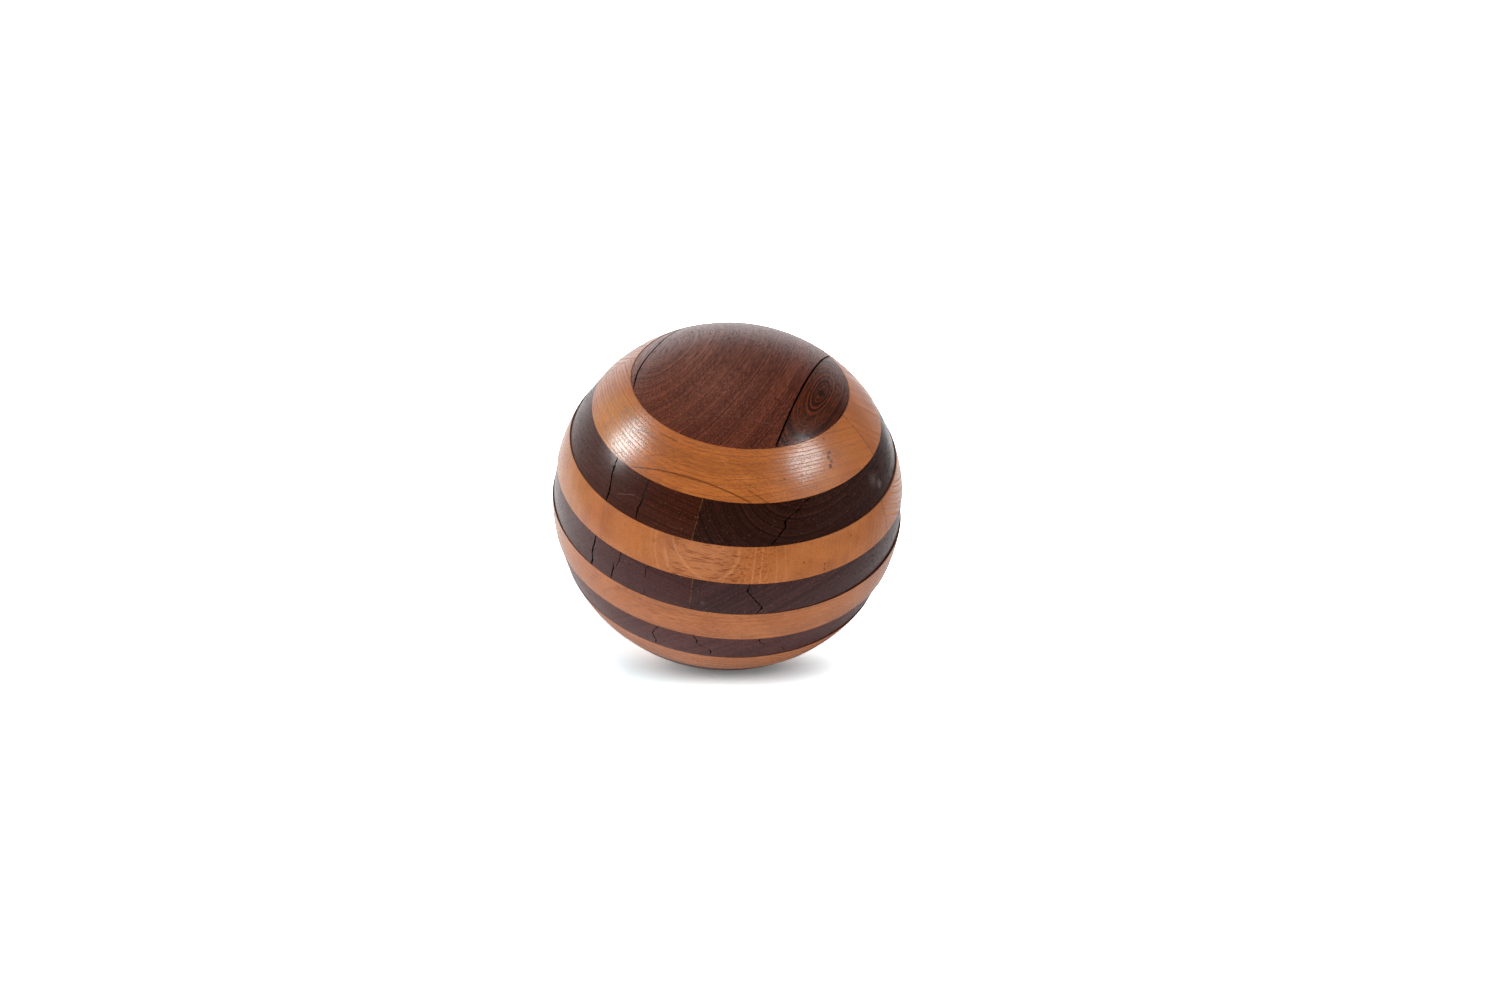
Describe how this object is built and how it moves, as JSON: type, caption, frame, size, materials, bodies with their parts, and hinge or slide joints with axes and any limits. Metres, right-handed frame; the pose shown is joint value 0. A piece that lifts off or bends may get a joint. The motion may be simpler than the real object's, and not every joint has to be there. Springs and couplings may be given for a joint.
{
  "type": "laminated wooden ball",
  "caption": "Solid ball turned from a block of crosswise glued dark and light boards, with open joints and drying cracks.",
  "frame": {"origin": "centre of the ball", "axes": "+Z square to the layers of boards, towards the dark cap; the dark boards' front ends face -Y, and their grain is turned 16 degrees from Y towards +X"},
  "size_m": [0.24, 0.24, 0.238],
  "materials": {
    "dark_wood": "oiled and polished dark hardwood, such as wenge, satin gloss",
    "light_wood": "oiled and polished orange-brown hardwood, satin gloss"
  },
  "bodies": {
    "root": {"layer_1_dark_left": "dark_wood", "layer_1_dark_middle": "dark_wood", "layer_1_dark_right": "dark_wood", "layer_2_light_back": "light_wood", "layer_2_light_front": "light_wood", "layer_3_dark_left": "dark_wood", "layer_3_dark_right": "dark_wood", "layer_4_light_back": "light_wood", "layer_4_light_front": "light_wood", "layer_5_dark_left": "dark_wood", "layer_5_dark_right": "dark_wood", "layer_6_light_back": "light_wood", "layer_6_light_front": "light_wood", "layer_7_dark_left": "dark_wood", "layer_7_dark_right": "dark_wood", "layer_8_light_back": "light_wood", "layer_8_light_front": "light_wood", "layer_9_dark_left": "dark_wood", "layer_9_dark_right": "dark_wood", "layer_10_light": "light_wood"}
  },
  "joints": []
}
